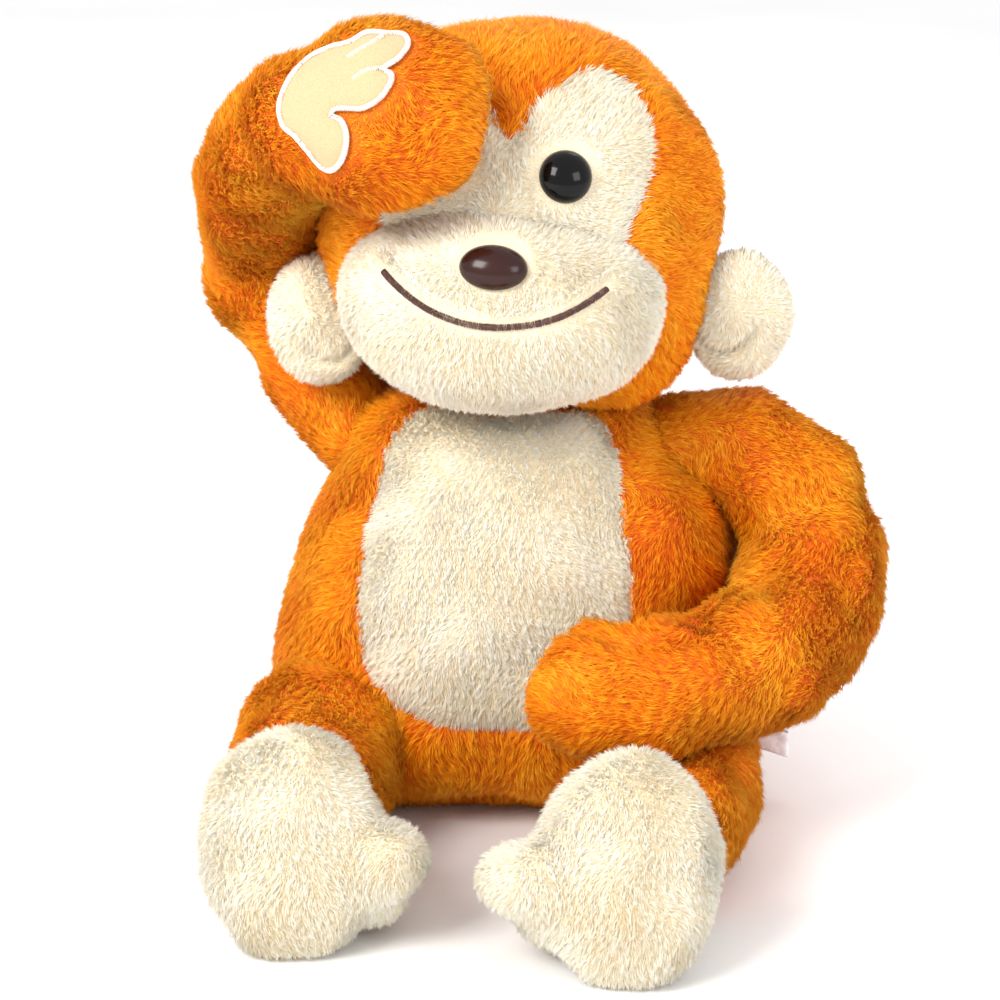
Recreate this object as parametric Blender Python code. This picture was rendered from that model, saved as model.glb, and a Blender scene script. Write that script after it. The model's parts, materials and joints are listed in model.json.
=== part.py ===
"""A seated plush monkey, one hand over an eye and the other arm across its lap.

Metres, +Z up. The toy faces -Y and sits on the plane z = 0, with the origin under
the middle of its seat. Left and right are the toy's own: its left arm is at +X.

Each stuffed part is a sewn fabric skin with an opening, round a core of filling.
A limb ends in a ball that sits in a cup cut from its neighbour, so that it turns
about the ball's centre.
"""

import math

import bmesh
import bpy
import numpy as np
from mathutils import Matrix, Vector

# Driving dimensions, in metres. REACH takes a cutter past the outside of any piece
SKIN = 0.0022
FILL_GAP = 0.0005
PIECE_GAP = 0.0004
JOINT_GAP = 0.0012
PANEL_PROUD = 0.0012
LIMB_SIDES = 10
TRUNK_SIDES = 18
BALL_AROUND = 12
BALL_UP = 8

HEAD_CENTRE = Vector((0.007, 0.0, 0.303))
HEAD_RADII = (0.096, 0.084, 0.089)
HEAD_JOWL = 2.6
JOWL_END = 0.01
HEAD_ROLL = math.radians(3.4)
HEAD_YAW = math.radians(-2.0)
MUZZLE_CENTRE = (0.0, -0.062, -0.033)
MUZZLE_RADII = (0.075, 0.052, 0.049)
NECK_CENTRE = Vector((0.002, 0.006, 0.2105))
NECK_RADIUS = 0.027
NECK_HOLE = 0.036
NECK_HOLE_REACH = 0.03
REACH = 0.2

EYE_RADIUS = 0.0125
EYE_HEIGHT = 0.0085
EYE_SPOT = (0.0275, 0.0345)
NOSE_RADII = (0.0165, 0.0115)
NOSE_HEIGHT = 0.009
NOSE_SPOT = (0.0, -0.005)
SHANK_RADIUS = 0.002
SHANK_LENGTH = 0.012
WASHER_RADIUS = 0.006
WASHER_THICKNESS = 0.0014
WASHER_DEPTH = 0.0065
BUTTON_SEAT = 0.001
SHANK_HOLE = (-0.01, 0.006)

MOUTH_HALF_WIDTH = 0.052
MOUTH_TOP = -0.0145
MOUTH_DROP = 0.0155
MOUTH_WIDTH = 0.0034

EAR_RADII = (0.0255, 0.0105, 0.031)
EAR_CENTRES = {"left": (0.1175, -0.012, 0.2540), "right": (-0.0915, -0.022, 0.2495)}
EAR_TURNS = {"left": 4.0, "right": -14.0}
EAR_GAP = 0.0035

# Height, half width, half depth and middle y and x of the trunk at each level
TRUNK = (
    (0.000, 0.070, 0.054, 0.004, 0.000),
    (0.005, 0.090, 0.070, 0.004, 0.000),
    (0.020, 0.107, 0.084, 0.002, 0.000),
    (0.045, 0.1165, 0.090, 0.000, 0.000),
    (0.075, 0.1150, 0.090, 0.000, 0.001),
    (0.105, 0.1105, 0.085, 0.000, 0.003),
    (0.135, 0.103, 0.078, 0.002, 0.005),
    (0.165, 0.093, 0.069, 0.004, 0.005),
    (0.188, 0.080, 0.059, 0.006, 0.003),
    (0.201, 0.062, 0.046, 0.006, 0.002),
    (0.206, 0.042, 0.034, 0.006, 0.002),
)
TRUNK_SQUARENESS = 2.25
BELLY_OUTLINE = (
    (-0.046, 0.199), (0.002, 0.2025), (0.050, 0.199), (0.062, 0.165), (0.068, 0.125), (0.060, 0.086),
    (0.034, 0.066), (-0.002, 0.061), (-0.038, 0.066), (-0.062, 0.088), (-0.067, 0.125), (-0.060, 0.165),
)
FACE_OUTLINE = (
    (0.000, 0.050), (0.014, 0.070), (0.034, 0.079), (0.056, 0.068), (0.065, 0.045), (0.058, 0.020),
    (0.050, -0.020), (0.030, -0.045), (0.000, -0.052), (-0.030, -0.045), (-0.050, -0.020), (-0.058, 0.020),
    (-0.065, 0.045), (-0.056, 0.068), (-0.034, 0.079), (-0.014, 0.070),
)

# Each limb piece: points along its middle as (x, y, z, wide radius, flat radius). Its first
# point is the ball it turns on, and its last is in the ball of the next piece.
ARMS = {
    "right": {
        "upper_arm": ((-0.078, 0.010, 0.184, 0.022, 0.022), (-0.101, 0.025, 0.216, 0.025, 0.025),
                      (-0.1165, 0.032, 0.252, 0.027, 0.027), (-0.118, 0.016, 0.290, 0.028, 0.028)),
        "forearm": ((-0.118, 0.016, 0.290, 0.028, 0.028), (-0.115, -0.028, 0.328, 0.031, 0.031),
                    (-0.086, -0.078, 0.360, 0.031, 0.029)),
        "hand": ((-0.086, -0.078, 0.360, 0.031, 0.029), (-0.058, -0.091, 0.3655, 0.042, 0.026),
                 (-0.034, -0.097, 0.3665, 0.040, 0.023)),
    },
    "left": {
        "upper_arm": ((0.084, 0.004, 0.182, 0.022, 0.022), (0.115, 0.000, 0.183, 0.027, 0.027),
                      (0.145, -0.008, 0.167, 0.032, 0.032), (0.159, -0.026, 0.134, 0.034, 0.034)),
        "forearm": ((0.159, -0.026, 0.134, 0.034, 0.034), (0.150, -0.062, 0.107, 0.034, 0.034),
                    (0.124, -0.103, 0.101, 0.032, 0.032), (0.097, -0.120, 0.100, 0.030, 0.030)),
        "hand": ((0.097, -0.120, 0.100, 0.030, 0.030), (0.077, -0.126, 0.0985, 0.030, 0.027),
                 (0.051, -0.130, 0.097, 0.029, 0.025)),
    },
}
WIDE_WAY = {"right": (-0.15, 0.40, 0.90), "left": (0.0, 0.30, 0.95)}
LEGS = {
    "right": ((-0.082, -0.068, 0.0430, 0.040, 0.040), (-0.085, -0.112, 0.0380, 0.034, 0.034),
              (-0.081, -0.160, 0.0345, 0.028, 0.028)),
    "left": ((0.086, -0.068, 0.0390, 0.037, 0.037), (0.092, -0.118, 0.0350, 0.032, 0.032),
             (0.078, -0.176, 0.0330, 0.027, 0.027)),
}
FOOT_CENTRES = {"right": (-0.083, -0.205, 0.0490), "left": (0.073, -0.221, 0.0490)}
FOOT_RADII = (0.040, 0.023, 0.0525)
FOOT_LEAN = math.radians(-16)
TOE_OFFSET = (0.043, -0.004, -0.006)
TOE_RADII = (0.023, 0.016, 0.0165)
HEEL_END = (0.0, 0.012, -0.006)
HEEL_RADIUS = 0.030
HEEL_INSET = 0.0004
TAIL = (
    (0.000, 0.093, 0.036, 0.012, 0.012), (0.008, 0.109, 0.026, 0.013, 0.013),
    (0.036, 0.116, 0.0165, 0.0135, 0.0135), (0.074, 0.108, 0.0145, 0.0135, 0.0135),
    (0.104, 0.086, 0.0145, 0.0125, 0.0125),
)

# Palm patch on the right hand, as a mitten outline in the palm's own plane
PATCH_OUTLINE = (
    (-0.033, 0.004), (-0.028, 0.020), (-0.014, 0.030), (0.004, 0.034), (0.022, 0.032), (0.027, 0.026),
    (0.021, 0.020), (0.028, 0.013), (0.024, 0.006), (0.014, 0.006), (0.018, -0.002), (0.012, -0.008),
    (0.000, -0.008), (-0.004, -0.014), (-0.004, -0.026), (-0.012, -0.032), (-0.021, -0.024),
    (-0.026, -0.010),
)
PATCH_SPOTS = {"right": (-0.052, -0.112, 0.366), "left": (0.057, -0.104, 0.0985)}
PATCH_FACING = {"right": (0.0, -0.93, 0.36), "left": (-0.18, 0.94, 0.28)}
PATCH_SCALE = {"right": 1.0, "left": 0.80}
PATCH_DEPTH = (-0.05, 0.012)
STITCH_WIDTH = 0.0022

# Each hinge's axis, and the angles in degrees at which its moving piece needs room cut for it
SHOULDER_AXES = {"right": (0, -1, 0), "left": (-0.95, -0.31, 0)}
SHOULDER_CUTS = {"right": (0, 28, 55), "left": (0, 35)}
ELBOW_AXES = {"right": (0, -1, 0), "left": (-1, 0, 0)}
ELBOW_CUTS = {"right": (0,), "left": (0, 30)}

# The opening each core was filled through: how far inside the end it is, and its radius
WRIST_OPENING = (0.026, 0.010)
ANKLE_OPENING = (0.024, 0.010)
TAIL_OPENING = (0.011, 0.007)

LABEL_SIZE = (0.020, 0.0016, 0.014)
LABEL_CENTRE = (0.1265, -0.012, 0.030)

# Where each moving body turns
PIVOTS = {
    "neck": NECK_CENTRE,
    "head": NECK_CENTRE,
    "ear_left": Vector((0.0950, -0.011, 0.258)),
    "ear_right": Vector((-0.072, -0.019, 0.254)),
    "tail": Vector(TAIL[0][:3]),
}
for side_name in ("left", "right"):
    for piece_name, stations in ARMS[side_name].items():
        PIVOTS[f"{piece_name}_{side_name}"] = Vector(stations[0][:3])
    PIVOTS[f"leg_{side_name}"] = Vector(LEGS[side_name][0][:3])
    PIVOTS[f"foot_{side_name}"] = Vector(LEGS[side_name][-1][:3])

COLOURS = {
    "orange_plush": (0.72, 0.20, 0.012),
    "cream_plush": (0.80, 0.67, 0.46),
    "palm_velour": (0.86, 0.70, 0.47),
    "white_thread": (0.90, 0.87, 0.80),
    "brown_thread": (0.060, 0.014, 0.008),
    "black_plastic": (0.008, 0.008, 0.010),
    "brown_plastic": (0.035, 0.010, 0.008),
    "washer_plastic": (0.82, 0.82, 0.80),
    "fibre_filling": (0.90, 0.89, 0.86),
    "label_satin": (0.86, 0.84, 0.86),
}
ROUGHNESS = {"black_plastic": 0.12, "brown_plastic": 0.18, "washer_plastic": 0.45, "label_satin": 0.5}
CLOTH_ROUGHNESS = 0.9


# Materials, bodies and Booleans

def clear_scene():
    for found in list(bpy.data.objects):
        bpy.data.objects.remove(found)


def material(name):
    found = bpy.data.materials.get(name)
    if found:
        return found
    made = bpy.data.materials.new(name)
    made.use_nodes = True
    shader = made.node_tree.nodes["Principled BSDF"]
    shader.inputs["Base Color"].default_value = (*COLOURS[name], 1.0)
    shader.inputs["Roughness"].default_value = ROUGHNESS.get(name, CLOTH_ROUGHNESS)
    shader.inputs["Metallic"].default_value = 0.0
    return made


def object_from(name, form):
    """A mesh object from a bmesh, which it uses up."""
    mesh = bpy.data.meshes.new(name)
    form.to_mesh(mesh)
    form.free()
    made = bpy.data.objects.new(name, mesh)
    bpy.context.scene.collection.objects.link(made)
    return made


def combine(target, other, operation="DIFFERENCE"):
    """Applies one exact Boolean to target, and removes the other object."""
    modifier = target.modifiers.new("Combine", "BOOLEAN")
    modifier.solver = "EXACT"
    modifier.operation = operation
    modifier.object = other
    bpy.context.view_layer.update()
    graph = bpy.context.evaluated_depsgraph_get()
    result = bpy.data.meshes.new_from_object(target.evaluated_get(graph))
    target.modifiers.clear()
    target.data = result
    bpy.data.objects.remove(other)
    return target


def body_empties():
    """One empty on each moving body's pivot."""
    empties = {}
    for name, place in PIVOTS.items():
        empty = bpy.data.objects.new(f"pivot_{name}", None)
        empty.location = place
        empty.empty_display_size = 0.01
        bpy.context.scene.collection.objects.link(empty)
        empties[name] = empty
    bpy.context.view_layer.update()
    return empties


def finish_piece(piece, name, colour, pivot=None):
    """Names, paints and shades a piece, and hangs it on its body's pivot."""
    piece.name = name
    piece.data.name = name
    piece.data.materials.clear()
    piece.data.materials.append(material(colour))
    piece.data.shade_smooth()
    piece.data.set_sharp_from_angle(angle=math.radians(40))
    if pivot:
        piece.parent = pivot
        piece.matrix_parent_inverse = pivot.matrix_world.inverted()
    return piece


# Forms: each returns a bmesh, with its surface moved in by inset

def smooth_curve(points, count, closed=False):
    """count rows spread evenly along a Catmull-Rom curve through the rows of points."""
    rows = np.array(points, float)
    if closed:
        rows = np.vstack([rows[-1:], rows, rows[:2]])
    else:
        rows = np.vstack([2 * rows[0] - rows[1], rows, 2 * rows[-1] - rows[-2]])
    steps = np.linspace(0, 1, 16, endpoint=False)[:, None]
    parts = []
    for before, start, end, after in zip(rows, rows[1:], rows[2:], rows[3:]):
        parts.append(0.5 * (2 * start + (end - before) * steps
                            + (2 * before - 5 * start + 4 * end - after) * steps ** 2
                            + (3 * start - before - 3 * end + after) * steps ** 3))
    dense = np.vstack([*parts, rows[-2:-1]])
    run = np.concatenate([[0], np.cumsum(np.linalg.norm(np.diff(dense[:, :3], axis=0), axis=1))])
    wanted = np.linspace(0, run[-1], count, endpoint=not closed)
    return np.column_stack([np.interp(wanted, run, column) for column in dense.T])


def skinned(rings, first_pole, last_pole):
    """A closed bmesh over rings of equal size, with a pole at each end."""
    form = bmesh.new()
    loops = [[form.verts.new(point) for point in ring] for ring in rings]
    for low, high in zip(loops, loops[1:]):
        for index, corner in enumerate(low):
            after = (index + 1) % len(low)
            form.faces.new((corner, low[after], high[after]))
            form.faces.new((corner, high[after], high[index]))
    for loop, pole in ((loops[0], first_pole), (loops[-1], last_pole)):
        tip = form.verts.new(pole)
        for index, corner in enumerate(loop):
            form.faces.new((corner, loop[(index + 1) % len(loop)], tip))
    bmesh.ops.recalc_face_normals(form, faces=form.faces)
    return form


def tube(stations, wide, inset=0.0, rings=4, sides=LIMB_SIDES):
    """A stuffed tube with a rounded end beyond each of its end stations."""
    middle = smooth_curve(stations, rings)
    wide = np.array(wide, float)
    tangents = np.gradient(middle[:, :3], axis=0)
    tangents /= np.linalg.norm(tangents, axis=1)[:, None]
    angles = np.linspace(0, 2 * math.pi, sides, endpoint=False)

    def ring(row, tangent, shrink, ahead):
        across = wide - tangent * (wide @ tangent)
        across /= np.linalg.norm(across)
        upward = np.cross(tangent, across)
        reach, depth = (row[3:5] - inset) * shrink
        centre = row[:3] + tangent * ahead
        return [centre + across * reach * math.cos(a) + upward * depth * math.sin(a) for a in angles]

    made = []
    cap = [math.radians(62), math.radians(31)]
    for turn in cap:
        length = (middle[0, 3:5].mean() - inset) * math.sin(turn)
        made.append(ring(middle[0], tangents[0], math.cos(turn), -length))
    made += [ring(row, tangent, 1.0, 0.0) for row, tangent in zip(middle, tangents)]
    for turn in reversed(cap):
        length = (middle[-1, 3:5].mean() - inset) * math.sin(turn)
        made.append(ring(middle[-1], tangents[-1], math.cos(turn), length))
    first = middle[0, :3] - tangents[0] * (middle[0, 3:5].mean() - inset)
    last = middle[-1, :3] + tangents[-1] * (middle[-1, 3:5].mean() - inset)
    return skinned(made, first, last)


def egg(place, radii, inset=0.0, around=TRUNK_SIDES, up=10):
    """An ellipsoid, placed by a matrix or at a point."""
    if not isinstance(place, Matrix):
        place = Matrix.Translation(place)
    form = bmesh.new()
    bmesh.ops.create_uvsphere(form, u_segments=around, v_segments=up, radius=1.0)
    size = Matrix.Diagonal((*(radius - inset for radius in radii), 1.0))
    form.transform(place @ size)
    return form


def trunk(inset=0.0):
    """The body: rounded oblong sections on a flat seat."""
    angles = np.linspace(0, 2 * math.pi, TRUNK_SIDES, endpoint=False)
    power = 2 / TRUNK_SQUARENESS
    across = np.sign(np.cos(angles)) * np.abs(np.cos(angles)) ** power
    along = np.sign(np.sin(angles)) * np.abs(np.sin(angles)) ** power
    low, high = TRUNK[0][0], TRUNK[-1][0]
    rings = []
    for height, half_width, half_depth, middle_y, middle_x in TRUNK:
        level = min(max(height, low + inset), high - inset)
        rings.append([(middle_x + x * (half_width - inset), middle_y + y * (half_depth - inset), level)
                      for x, y in zip(across, along)])
        if len(rings) > 1 and rings[-2][0][2] == level:
            rings.pop(-2 if level == low + inset else -1)
    middle = TRUNK[0][3]
    return skinned(rings, (0, middle, low + inset), (0, TRUNK[-1][3], high - inset))


def layer(form, outer, inner):
    """The wall between a form's surface at two insets, with its inner side facing in."""
    wall = form(outer)
    hollow = form(inner)
    bmesh.ops.reverse_faces(hollow, faces=hollow.faces)
    lining = bpy.data.meshes.new("lining")
    hollow.to_mesh(lining)
    hollow.free()
    wall.from_mesh(lining)
    bpy.data.meshes.remove(lining)
    return wall


def prism(outline, place, near, far):
    """An outline in the plane's x and z, drawn out along its y from near to far."""
    form = bmesh.new()
    rings = [[form.verts.new(place @ Vector((x, depth, z))) for x, z in outline] for depth in (near, far)]
    form.faces.new(rings[0])
    form.faces.new(rings[1])
    for index in range(len(outline)):
        after = (index + 1) % len(outline)
        form.faces.new((rings[0][index], rings[0][after], rings[1][after], rings[1][index]))
    bmesh.ops.recalc_face_normals(form, faces=form.faces)
    return form


def band(outline, place, near, far, inner, outer, closed=True):
    """A strip that follows an outline, between two distances outside it."""
    points = np.array(outline)
    if closed:
        along = np.roll(points, -1, axis=0) - np.roll(points, 1, axis=0)
    else:
        along = np.gradient(points, axis=0)
    sideways = np.column_stack([along[:, 1], -along[:, 0]])
    sideways /= np.linalg.norm(sideways, axis=1)[:, None]
    form = bmesh.new()
    rows = []
    for offset in (inner, outer):
        for depth in (near, far):
            edge = points + sideways * offset
            rows.append([form.verts.new(place @ Vector((x, depth, z))) for x, z in edge])
    inner_near, inner_far, outer_near, outer_far = rows
    count = len(points)
    for index in range(count if closed else count - 1):
        after = (index + 1) % count
        for one, other in ((inner_near, inner_far), (inner_far, outer_far),
                           (outer_far, outer_near), (outer_near, inner_near)):
            form.faces.new((one[index], one[after], other[after], other[index]))
    if not closed:
        for index in (0, count - 1):
            form.faces.new([row[index] for row in (inner_near, inner_far, outer_far, outer_near)])
    bmesh.ops.recalc_face_normals(form, faces=form.faces)
    return form


def rod(place, radius, near, far, sides=12):
    """A cylinder along the place's y axis."""
    outline = [(radius * math.cos(turn), radius * math.sin(turn))
               for turn in np.linspace(0, 2 * math.pi, sides, endpoint=False)]
    return prism(outline, place, near, far)


def facing(point, direction):
    """A frame at a point whose -y axis looks along direction."""
    back = -Vector(direction).normalized()
    across = back.cross(Vector((0, 0, 1))).normalized()
    upward = across.cross(back)
    turn = Matrix((across, back, upward)).transposed()
    return Matrix.Translation(point) @ turn.to_4x4()


HEAD_PLACE = (Matrix.Translation(HEAD_CENTRE) @ Matrix.Rotation(HEAD_ROLL, 4, "Y")
              @ Matrix.Rotation(HEAD_YAW, 4, "Z"))


def head(inset=0.0):
    """An ellipsoid whose lower half is squarer from the front, for the cheeks."""
    form = bmesh.new()
    bmesh.ops.create_uvsphere(form, u_segments=20, v_segments=12, radius=1.0)
    for vertex in form.verts:
        if -1 + JOWL_END < vertex.co.z < 0:
            round_width = math.sqrt(1 - vertex.co.z ** 2)
            full_width = (1 - abs(vertex.co.z) ** HEAD_JOWL) ** (1 / HEAD_JOWL)
            vertex.co.x *= full_width / round_width
    size = Matrix.Diagonal((*(radius - inset for radius in HEAD_RADII), 1.0))
    form.transform(HEAD_PLACE @ size)
    return form


def muzzle(inset=0.0):
    return egg(HEAD_PLACE @ Matrix.Translation(MUZZLE_CENTRE), MUZZLE_RADII, inset, 16, 10)


def cutter(form):
    return object_from("cutter", form)


def stuffed(name, form, colour, pivot, cuts):
    """A skin and its filling, less what each entry of cuts makes."""
    skin = object_from(name, layer(form, 0.0, SKIN))
    core = object_from(f"{name}_core", form(SKIN + FILL_GAP))
    for make in cuts:
        combine(skin, cutter(make()))
        combine(core, cutter(make()))
    finish_piece(skin, f"{name}_skin", colour, pivot)
    finish_piece(core, f"{name}_filling", "fibre_filling", pivot)
    return skin, core


# The toy's parts

def ball(centre, radius):
    return lambda: egg(Vector(centre), (radius, radius, radius), 0.0, BALL_AROUND, BALL_UP)


def socket(station):
    """The space for the ball at one end of a limb piece."""
    flats = math.cos(math.pi / BALL_AROUND) * math.cos(math.pi / BALL_UP / 2)
    return ball(station[:3], (max(station[3:5]) + JOINT_GAP) / flats)


def turned(form, pivot, axis, degrees):
    """The space a form takes when its joint is at an angle."""
    def make():
        made = form(-JOINT_GAP)
        turn = Matrix.Rotation(math.radians(degrees), 4, Vector(axis))
        made.transform(Matrix.Translation(pivot) @ turn @ Matrix.Translation(-Vector(pivot)))
        return made
    return make


def neck_hole():
    """The round opening through which the neck joins the body and the head."""
    place = facing(NECK_CENTRE, (0, 0.0001, -1))
    return rod(place, NECK_HOLE, -NECK_HOLE_REACH, NECK_HOLE_REACH, 20)


def cut_panel(name, skin, outline, place):
    """Cuts an outlined panel out of the front of a skin, with a seam's gap round it."""
    form = bmesh.new()
    form.from_mesh(skin.data)
    panel = object_from(name, form)
    combine(panel, cutter(prism(outline, place, -REACH, 0.0)), "INTERSECT")
    centre = outline.mean(axis=0)
    radius = np.linalg.norm(outline - centre, axis=1).mean()
    wider = centre + (outline - centre) * (1 + PIECE_GAP / radius)
    combine(skin, cutter(prism(wider, place, -REACH, 0.0)))
    return panel


def make_body():
    pit = [socket(ARMS[side]["upper_arm"][0]) for side in ARMS]
    for side in ARMS:
        rows = ARMS[side]["upper_arm"]
        pit += [turned(lambda inset, rows=rows, side=side: tube(rows, WIDE_WAY[side], inset),
                       rows[0][:3], SHOULDER_AXES[side], angle) for angle in SHOULDER_CUTS[side]]
    pit += [socket(LEGS[side][0]) for side in LEGS]
    pit.append(socket(TAIL[0]))
    skin = object_from("body", layer(trunk, 0.0, SKIN))
    core = object_from("body_core", trunk(SKIN + FILL_GAP))
    for make in pit:
        combine(skin, cutter(make()))
        combine(core, cutter(make()))
    combine(skin, cutter(neck_hole()))
    combine(core, cutter(ball(NECK_CENTRE, NECK_RADIUS + JOINT_GAP)()))
    outline = smooth_curve(BELLY_OUTLINE, 26, closed=True)
    panel = cut_panel("belly_panel", skin, outline, Matrix())
    finish_piece(skin, "body_skin", "orange_plush")
    finish_piece(panel, "belly_panel", "cream_plush")
    finish_piece(core, "body_filling", "fibre_filling")
    make_label()


def make_label():
    form = bmesh.new()
    bmesh.ops.create_cube(form, size=1.0)
    form.transform(Matrix.Translation(LABEL_CENTRE) @ Matrix.Rotation(math.radians(-14), 4, "Z")
                   @ Matrix.Diagonal((*LABEL_SIZE, 1.0)))
    label = object_from("care_label", form)
    combine(label, cutter(trunk(-PIECE_GAP)))
    finish_piece(label, "care_label", "label_satin")


def on_surface(form_place, radii, spot):
    """The point and outward direction on an ellipsoid's front at its local x and z."""
    x, z = spot
    depth = -radii[1] * math.sqrt(1 - (x / radii[0]) ** 2 - (z / radii[2]) ** 2)
    slope = Vector((x / radii[0] ** 2, depth / radii[1] ** 2, z / radii[2] ** 2))
    return form_place @ Vector((x, depth, z)), (form_place.to_3x3() @ slope).normalized()


def make_button(name, place, radii, height, colour, pivot):
    """A domed plastic eye or nose with its shank, and the washer that locks it inside."""
    dome = egg(place, (radii[0], height, radii[1]), 0.0, 20, 10)
    button = object_from(name, dome)
    wide = 2 * max(radii)
    back = [(-wide, -wide), (wide, -wide), (wide, wide), (-wide, wide)]
    combine(button, cutter(prism(back, place, -BUTTON_SEAT, wide)))
    shank = rod(place, SHANK_RADIUS, -height / 2, SHANK_LENGTH)
    combine(button, cutter(shank), "UNION")
    finish_piece(button, name, colour, pivot)
    washer = object_from("washer", rod(place, WASHER_RADIUS, WASHER_DEPTH, WASHER_DEPTH + WASHER_THICKNESS))
    combine(washer, cutter(rod(place, SHANK_RADIUS + PIECE_GAP, 0, 2 * WASHER_DEPTH)))
    finish_piece(washer, f"{name}_washer", "washer_plastic", pivot)


def make_head(pivots):
    pivot = pivots["head"]
    skin = object_from("head", layer(head, 0.0, SKIN))
    combine(skin, cutter(neck_hole()))
    outline = smooth_curve(FACE_OUTLINE, 34, closed=True)
    panel = cut_panel("face_panel", skin, outline, HEAD_PLACE)
    core = object_from("head_core", head(SKIN + FILL_GAP))
    combine(core, cutter(ball(NECK_CENTRE, NECK_RADIUS + JOINT_GAP)()))
    puff = object_from("muzzle", layer(muzzle, 0.0, SKIN))
    combine(puff, cutter(head(-PIECE_GAP)))
    pad = object_from("muzzle_core", muzzle(SKIN + FILL_GAP))
    combine(pad, cutter(head(-PIECE_GAP)))

    for side, sign in (("left", 1), ("right", -1)):
        spot = (sign * EYE_SPOT[0], EYE_SPOT[1])
        place = facing(*on_surface(HEAD_PLACE, HEAD_RADII, spot))
        combine(panel, cutter(rod(place, SHANK_RADIUS + PIECE_GAP, *SHANK_HOLE)))
        combine(core, cutter(rod(place, WASHER_RADIUS + FILL_GAP, SHANK_HOLE[0], SHANK_LENGTH + FILL_GAP)))
        make_button(f"eye_{side}", place, (EYE_RADIUS, EYE_RADIUS), EYE_HEIGHT, "black_plastic", pivot)
    muzzle_place = HEAD_PLACE @ Matrix.Translation(MUZZLE_CENTRE)
    spot = (NOSE_SPOT[0], NOSE_SPOT[1] - MUZZLE_CENTRE[2])
    place = facing(*on_surface(muzzle_place, MUZZLE_RADII, spot))
    combine(puff, cutter(rod(place, SHANK_RADIUS + PIECE_GAP, *SHANK_HOLE)))
    combine(pad, cutter(rod(place, WASHER_RADIUS + FILL_GAP, SHANK_HOLE[0], SHANK_LENGTH + FILL_GAP)))
    make_button("nose", place, NOSE_RADII, NOSE_HEIGHT, "brown_plastic", pivot)

    across = np.linspace(-MOUTH_HALF_WIDTH, MOUTH_HALF_WIDTH, 17)
    arc = [(x, MOUTH_TOP - MOUTH_DROP * (1 - (x / MOUTH_HALF_WIDTH) ** 2)) for x in across]
    mouth = object_from("mouth", layer(muzzle, -PIECE_GAP - PANEL_PROUD, -PIECE_GAP))
    strip = band(arc, HEAD_PLACE, -REACH, MUZZLE_CENTRE[1], -MOUTH_WIDTH / 2, MOUTH_WIDTH / 2, closed=False)
    combine(mouth, cutter(strip), "INTERSECT")

    finish_piece(skin, "head_skin", "orange_plush", pivot)
    finish_piece(panel, "face_panel", "cream_plush", pivot)
    finish_piece(core, "head_filling", "fibre_filling", pivot)
    finish_piece(puff, "muzzle_panel", "cream_plush", pivot)
    finish_piece(pad, "muzzle_filling", "fibre_filling", pivot)
    finish_piece(mouth, "mouth_embroidery", "brown_thread", pivot)
    neck = object_from("neck", ball(NECK_CENTRE, NECK_RADIUS)())
    finish_piece(neck, "neck_filling", "fibre_filling", pivots["neck"])


def make_ear(side, pivots):
    place = Matrix.Translation(EAR_CENTRES[side]) @ Matrix.Rotation(math.radians(EAR_TURNS[side]), 4, "Z")
    stuffed(f"ear_{side}", lambda inset: egg(place, EAR_RADII, inset, 14, 8), "cream_plush",
            pivots[f"ear_{side}"], [lambda: head(-EAR_GAP)])


def make_arm(side, pivots):
    wide = WIDE_WAY[side]
    pieces = ARMS[side]
    forms = {name: (lambda inset, rows=rows: tube(rows, wide, inset)) for name, rows in pieces.items()}
    elbow = pieces["forearm"][0]
    cuts = [socket(elbow)]
    for angle in ELBOW_CUTS[side]:
        cuts.append(turned(forms["forearm"], elbow[:3], ELBOW_AXES[side], angle))
    stuffed(f"upper_arm_{side}", forms["upper_arm"], "orange_plush", pivots[f"upper_arm_{side}"], cuts)
    wrist = pieces["hand"][0]
    cuts = [socket(wrist), lambda: forms["hand"](-JOINT_GAP)]
    stuffed(f"forearm_{side}", forms["forearm"], "orange_plush", pivots[f"forearm_{side}"], cuts)
    centre = Vector(wrist[:3])
    along = (Vector(pieces["hand"][1][:3]) - centre).normalized()
    setback, radius = WRIST_OPENING
    opening = ball(centre - setback * along, radius)
    stuffed(f"hand_{side}", forms["hand"], "orange_plush", pivots[f"hand_{side}"], [opening])
    make_palm(side, forms["hand"], pivots[f"hand_{side}"])


def make_palm(side, hand, pivot):
    """The short-pile patch on the palm, with a satin-stitched edge."""
    place = facing(PATCH_SPOTS[side], PATCH_FACING[side])
    outline = smooth_curve(np.array(PATCH_OUTLINE) * PATCH_SCALE[side], 30, closed=True)
    patch = object_from("patch", layer(hand, -PIECE_GAP - PANEL_PROUD, -PIECE_GAP))
    combine(patch, cutter(prism(outline, place, *PATCH_DEPTH)), "INTERSECT")
    finish_piece(patch, f"palm_patch_{side}", "palm_velour", pivot)
    edge = object_from("edge", layer(hand, -PIECE_GAP - 1.5 * PANEL_PROUD, -PIECE_GAP))
    strip = band(outline, place, *PATCH_DEPTH, -PIECE_GAP, -PIECE_GAP - STITCH_WIDTH)
    combine(edge, cutter(strip), "INTERSECT")
    finish_piece(edge, f"palm_stitching_{side}", "white_thread", pivot)


def make_leg(side, pivots):
    rows = LEGS[side]
    stuffed(f"leg_{side}", lambda inset: tube(rows, (1, 0, 0), inset), "orange_plush",
            pivots[f"leg_{side}"], [socket(rows[-1])])
    make_foot(side, pivots[f"foot_{side}"])


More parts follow.
